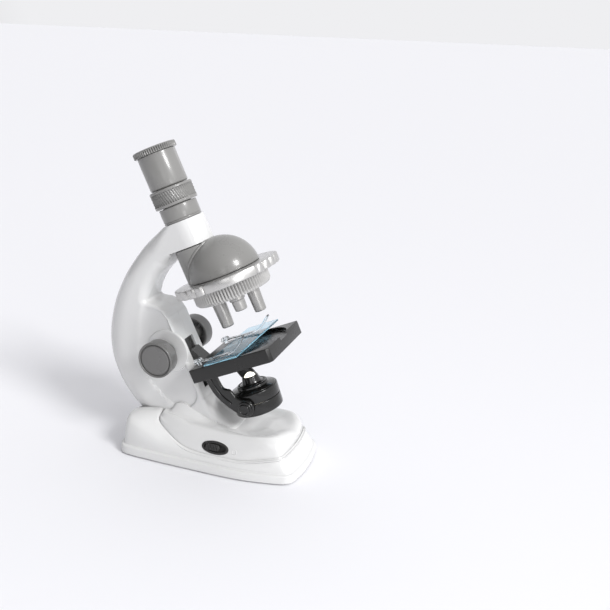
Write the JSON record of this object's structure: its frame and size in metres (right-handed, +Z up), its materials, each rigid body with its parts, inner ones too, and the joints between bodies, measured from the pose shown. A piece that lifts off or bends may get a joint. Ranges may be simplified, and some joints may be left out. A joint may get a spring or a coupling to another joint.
{
  "type": "kids microscope",
  "caption": "Child's compound microscope with a C-shaped arm, geared tilting-frame stage, turning objective turret, zoom eyepiece, clips, glass slide and a swivelling lamp with a mirror under it.",
  "frame": {"origin": "on the floor, under the middle of the stand's length, in its left-right symmetry plane", "axes": "+X towards the front of the foot and the stage, +Y towards the side without the switch, +Z up"},
  "size_m": [0.1525, 0.0821, 0.2197],
  "materials": {
    "white_plastic": "gloss",
    "grey_plastic": "satin",
    "knob_grey": "satin",
    "underside_grey": "matt",
    "switch_grey": "satin",
    "silver_plastic": "silver paint",
    "black_plastic": "gloss",
    "black_matt": "matt",
    "clear_plastic": "clear",
    "blue_glass": "clear, tinted",
    "lens_glass": "polished",
    "lamp_glow": "frosted",
    "mirror_glass": "polished",
    "plated_steel": "plated",
    "rubber": "matt",
    "battery_jacket": "gloss"
  },
  "bodies": {
    "stand": {"foot_shell": "white_plastic", "deck_shell": "white_plastic", "arm_left_shell": "white_plastic", "arm_right_shell": "white_plastic", "foot_plate": "underside_grey", "battery_door": "underside_grey", "battery_door_screw": "plated_steel", "foot_screw_1": "plated_steel", "foot_screw_2": "plated_steel", "arm_screw_1": "plated_steel", "arm_screw_2": "plated_steel", "arm_screw_3": "plated_steel", "contact_front": "plated_steel", "contact_rear": "plated_steel", "turret_screw": "plated_steel", "foot_pad_1": "rubber", "foot_pad_2": "rubber", "foot_pad_3": "rubber", "foot_pad_4": "rubber", "foot_pad_5": "rubber", "battery_a": "battery_jacket", "battery_b": "battery_jacket", "switch_body": "switch_grey", "nosepiece_head": "grey_plastic", "body_tube": "grey_plastic"},
    "turret": {"turret_disc": "silver_plastic", "turret_drum": "grey_plastic", "objective_long": "silver_plastic", "objective_medium": "silver_plastic", "objective_short": "silver_plastic", "lens_long": "lens_glass", "lens_medium": "lens_glass", "lens_short": "lens_glass"},
    "zoom": {"zoom_ring": "grey_plastic"},
    "eyepiece": {"eyepiece_barrel": "grey_plastic", "eyepiece_cap": "grey_plastic", "eye_lens": "lens_glass", "field_lens": "lens_glass"},
    "knobs": {"knob_left": "knob_grey", "knob_right": "knob_grey", "focus_shaft": "plated_steel", "focus_pinion": "black_matt"},
    "stage": {"stage_plate": "black_plastic", "stage_carriage": "black_plastic", "focus_rack": "black_matt", "clip_post_left": "clear_plastic", "clip_post_right": "clear_plastic", "lamp_yoke": "black_plastic"},
    "clip_l": {"clip_left": "clear_plastic"},
    "clip_r": {"clip_right": "clear_plastic"},
    "specimen": {"specimen_slide": "blue_glass"},
    "lamp": {"lamp_upper_case": "black_plastic", "lamp_lower_case": "black_plastic", "lamp_collar": "black_matt", "lamp_bulb": "lamp_glow", "mirror": "mirror_glass", "lamp_pivot_left": "black_plastic", "lamp_pivot_right": "black_plastic"},
    "switch": {"switch_knob": "switch_grey"}
  },
  "joints": [
    {"name": "turret_spin", "type": "hinge", "parent": "stand", "child": "turret", "pos_m": [0.01243, 0, 0.1334], "axis": [-0.4226, 0, 0.9063], "continuous": true},
    {"name": "zoom_turn", "type": "hinge", "parent": "stand", "child": "zoom", "pos_m": [-0.02631, 0, 0.18264], "axis": [-0.4226, 0, 0.9063], "range_deg": [0, 270]},
    {"name": "eyepiece_slide", "type": "slide", "parent": "stand", "child": "eyepiece", "axis": [-0.4226, 0, 0.9063], "range_m": [0, 0.01]},
    {"name": "focus_turn", "type": "hinge", "parent": "stand", "child": "knobs", "pos_m": [-0.02614, 0, 0.07602], "axis": [0, -1, 0], "range_deg": [-19.2, 76.5]},
    {"name": "stage_lift", "type": "slide", "parent": "stand", "child": "stage", "axis": [-0.4226, 0, 0.9063], "range_m": [-0.002, 0.008]},
    {"name": "clip_left_turn", "type": "hinge", "parent": "stage", "child": "clip_l", "pos_m": [0.00179, -0.0215, 0.07625], "axis": [0.4226, 0, -0.9063], "range_deg": [0, 50]},
    {"name": "clip_right_turn", "type": "hinge", "parent": "stage", "child": "clip_r", "pos_m": [0.00179, 0.0215, 0.07625], "axis": [-0.4226, 0, 0.9063], "range_deg": [0, 50]},
    {"name": "slide_shift", "type": "slide", "parent": "stage", "child": "specimen", "axis": [0, 1, 0], "range_m": [-0.01, 0.01]},
    {"name": "lamp_tilt", "type": "hinge", "parent": "stage", "child": "lamp", "pos_m": [0.03557, 0, 0.04709], "axis": [0, 1, 0], "range_deg": [0, 180]},
    {"name": "switch_slide", "type": "slide", "parent": "stand", "child": "switch", "axis": [1, 0, 0], "range_m": [0, 0.0042]}
  ],
  "couplings": [
    {"joint": "eyepiece_slide", "follows": "zoom_turn", "m_per_rad": 0.002122},
    {"joint": "focus_turn", "follows": "stage_lift", "rad_per_m": 166.67}
  ]
}
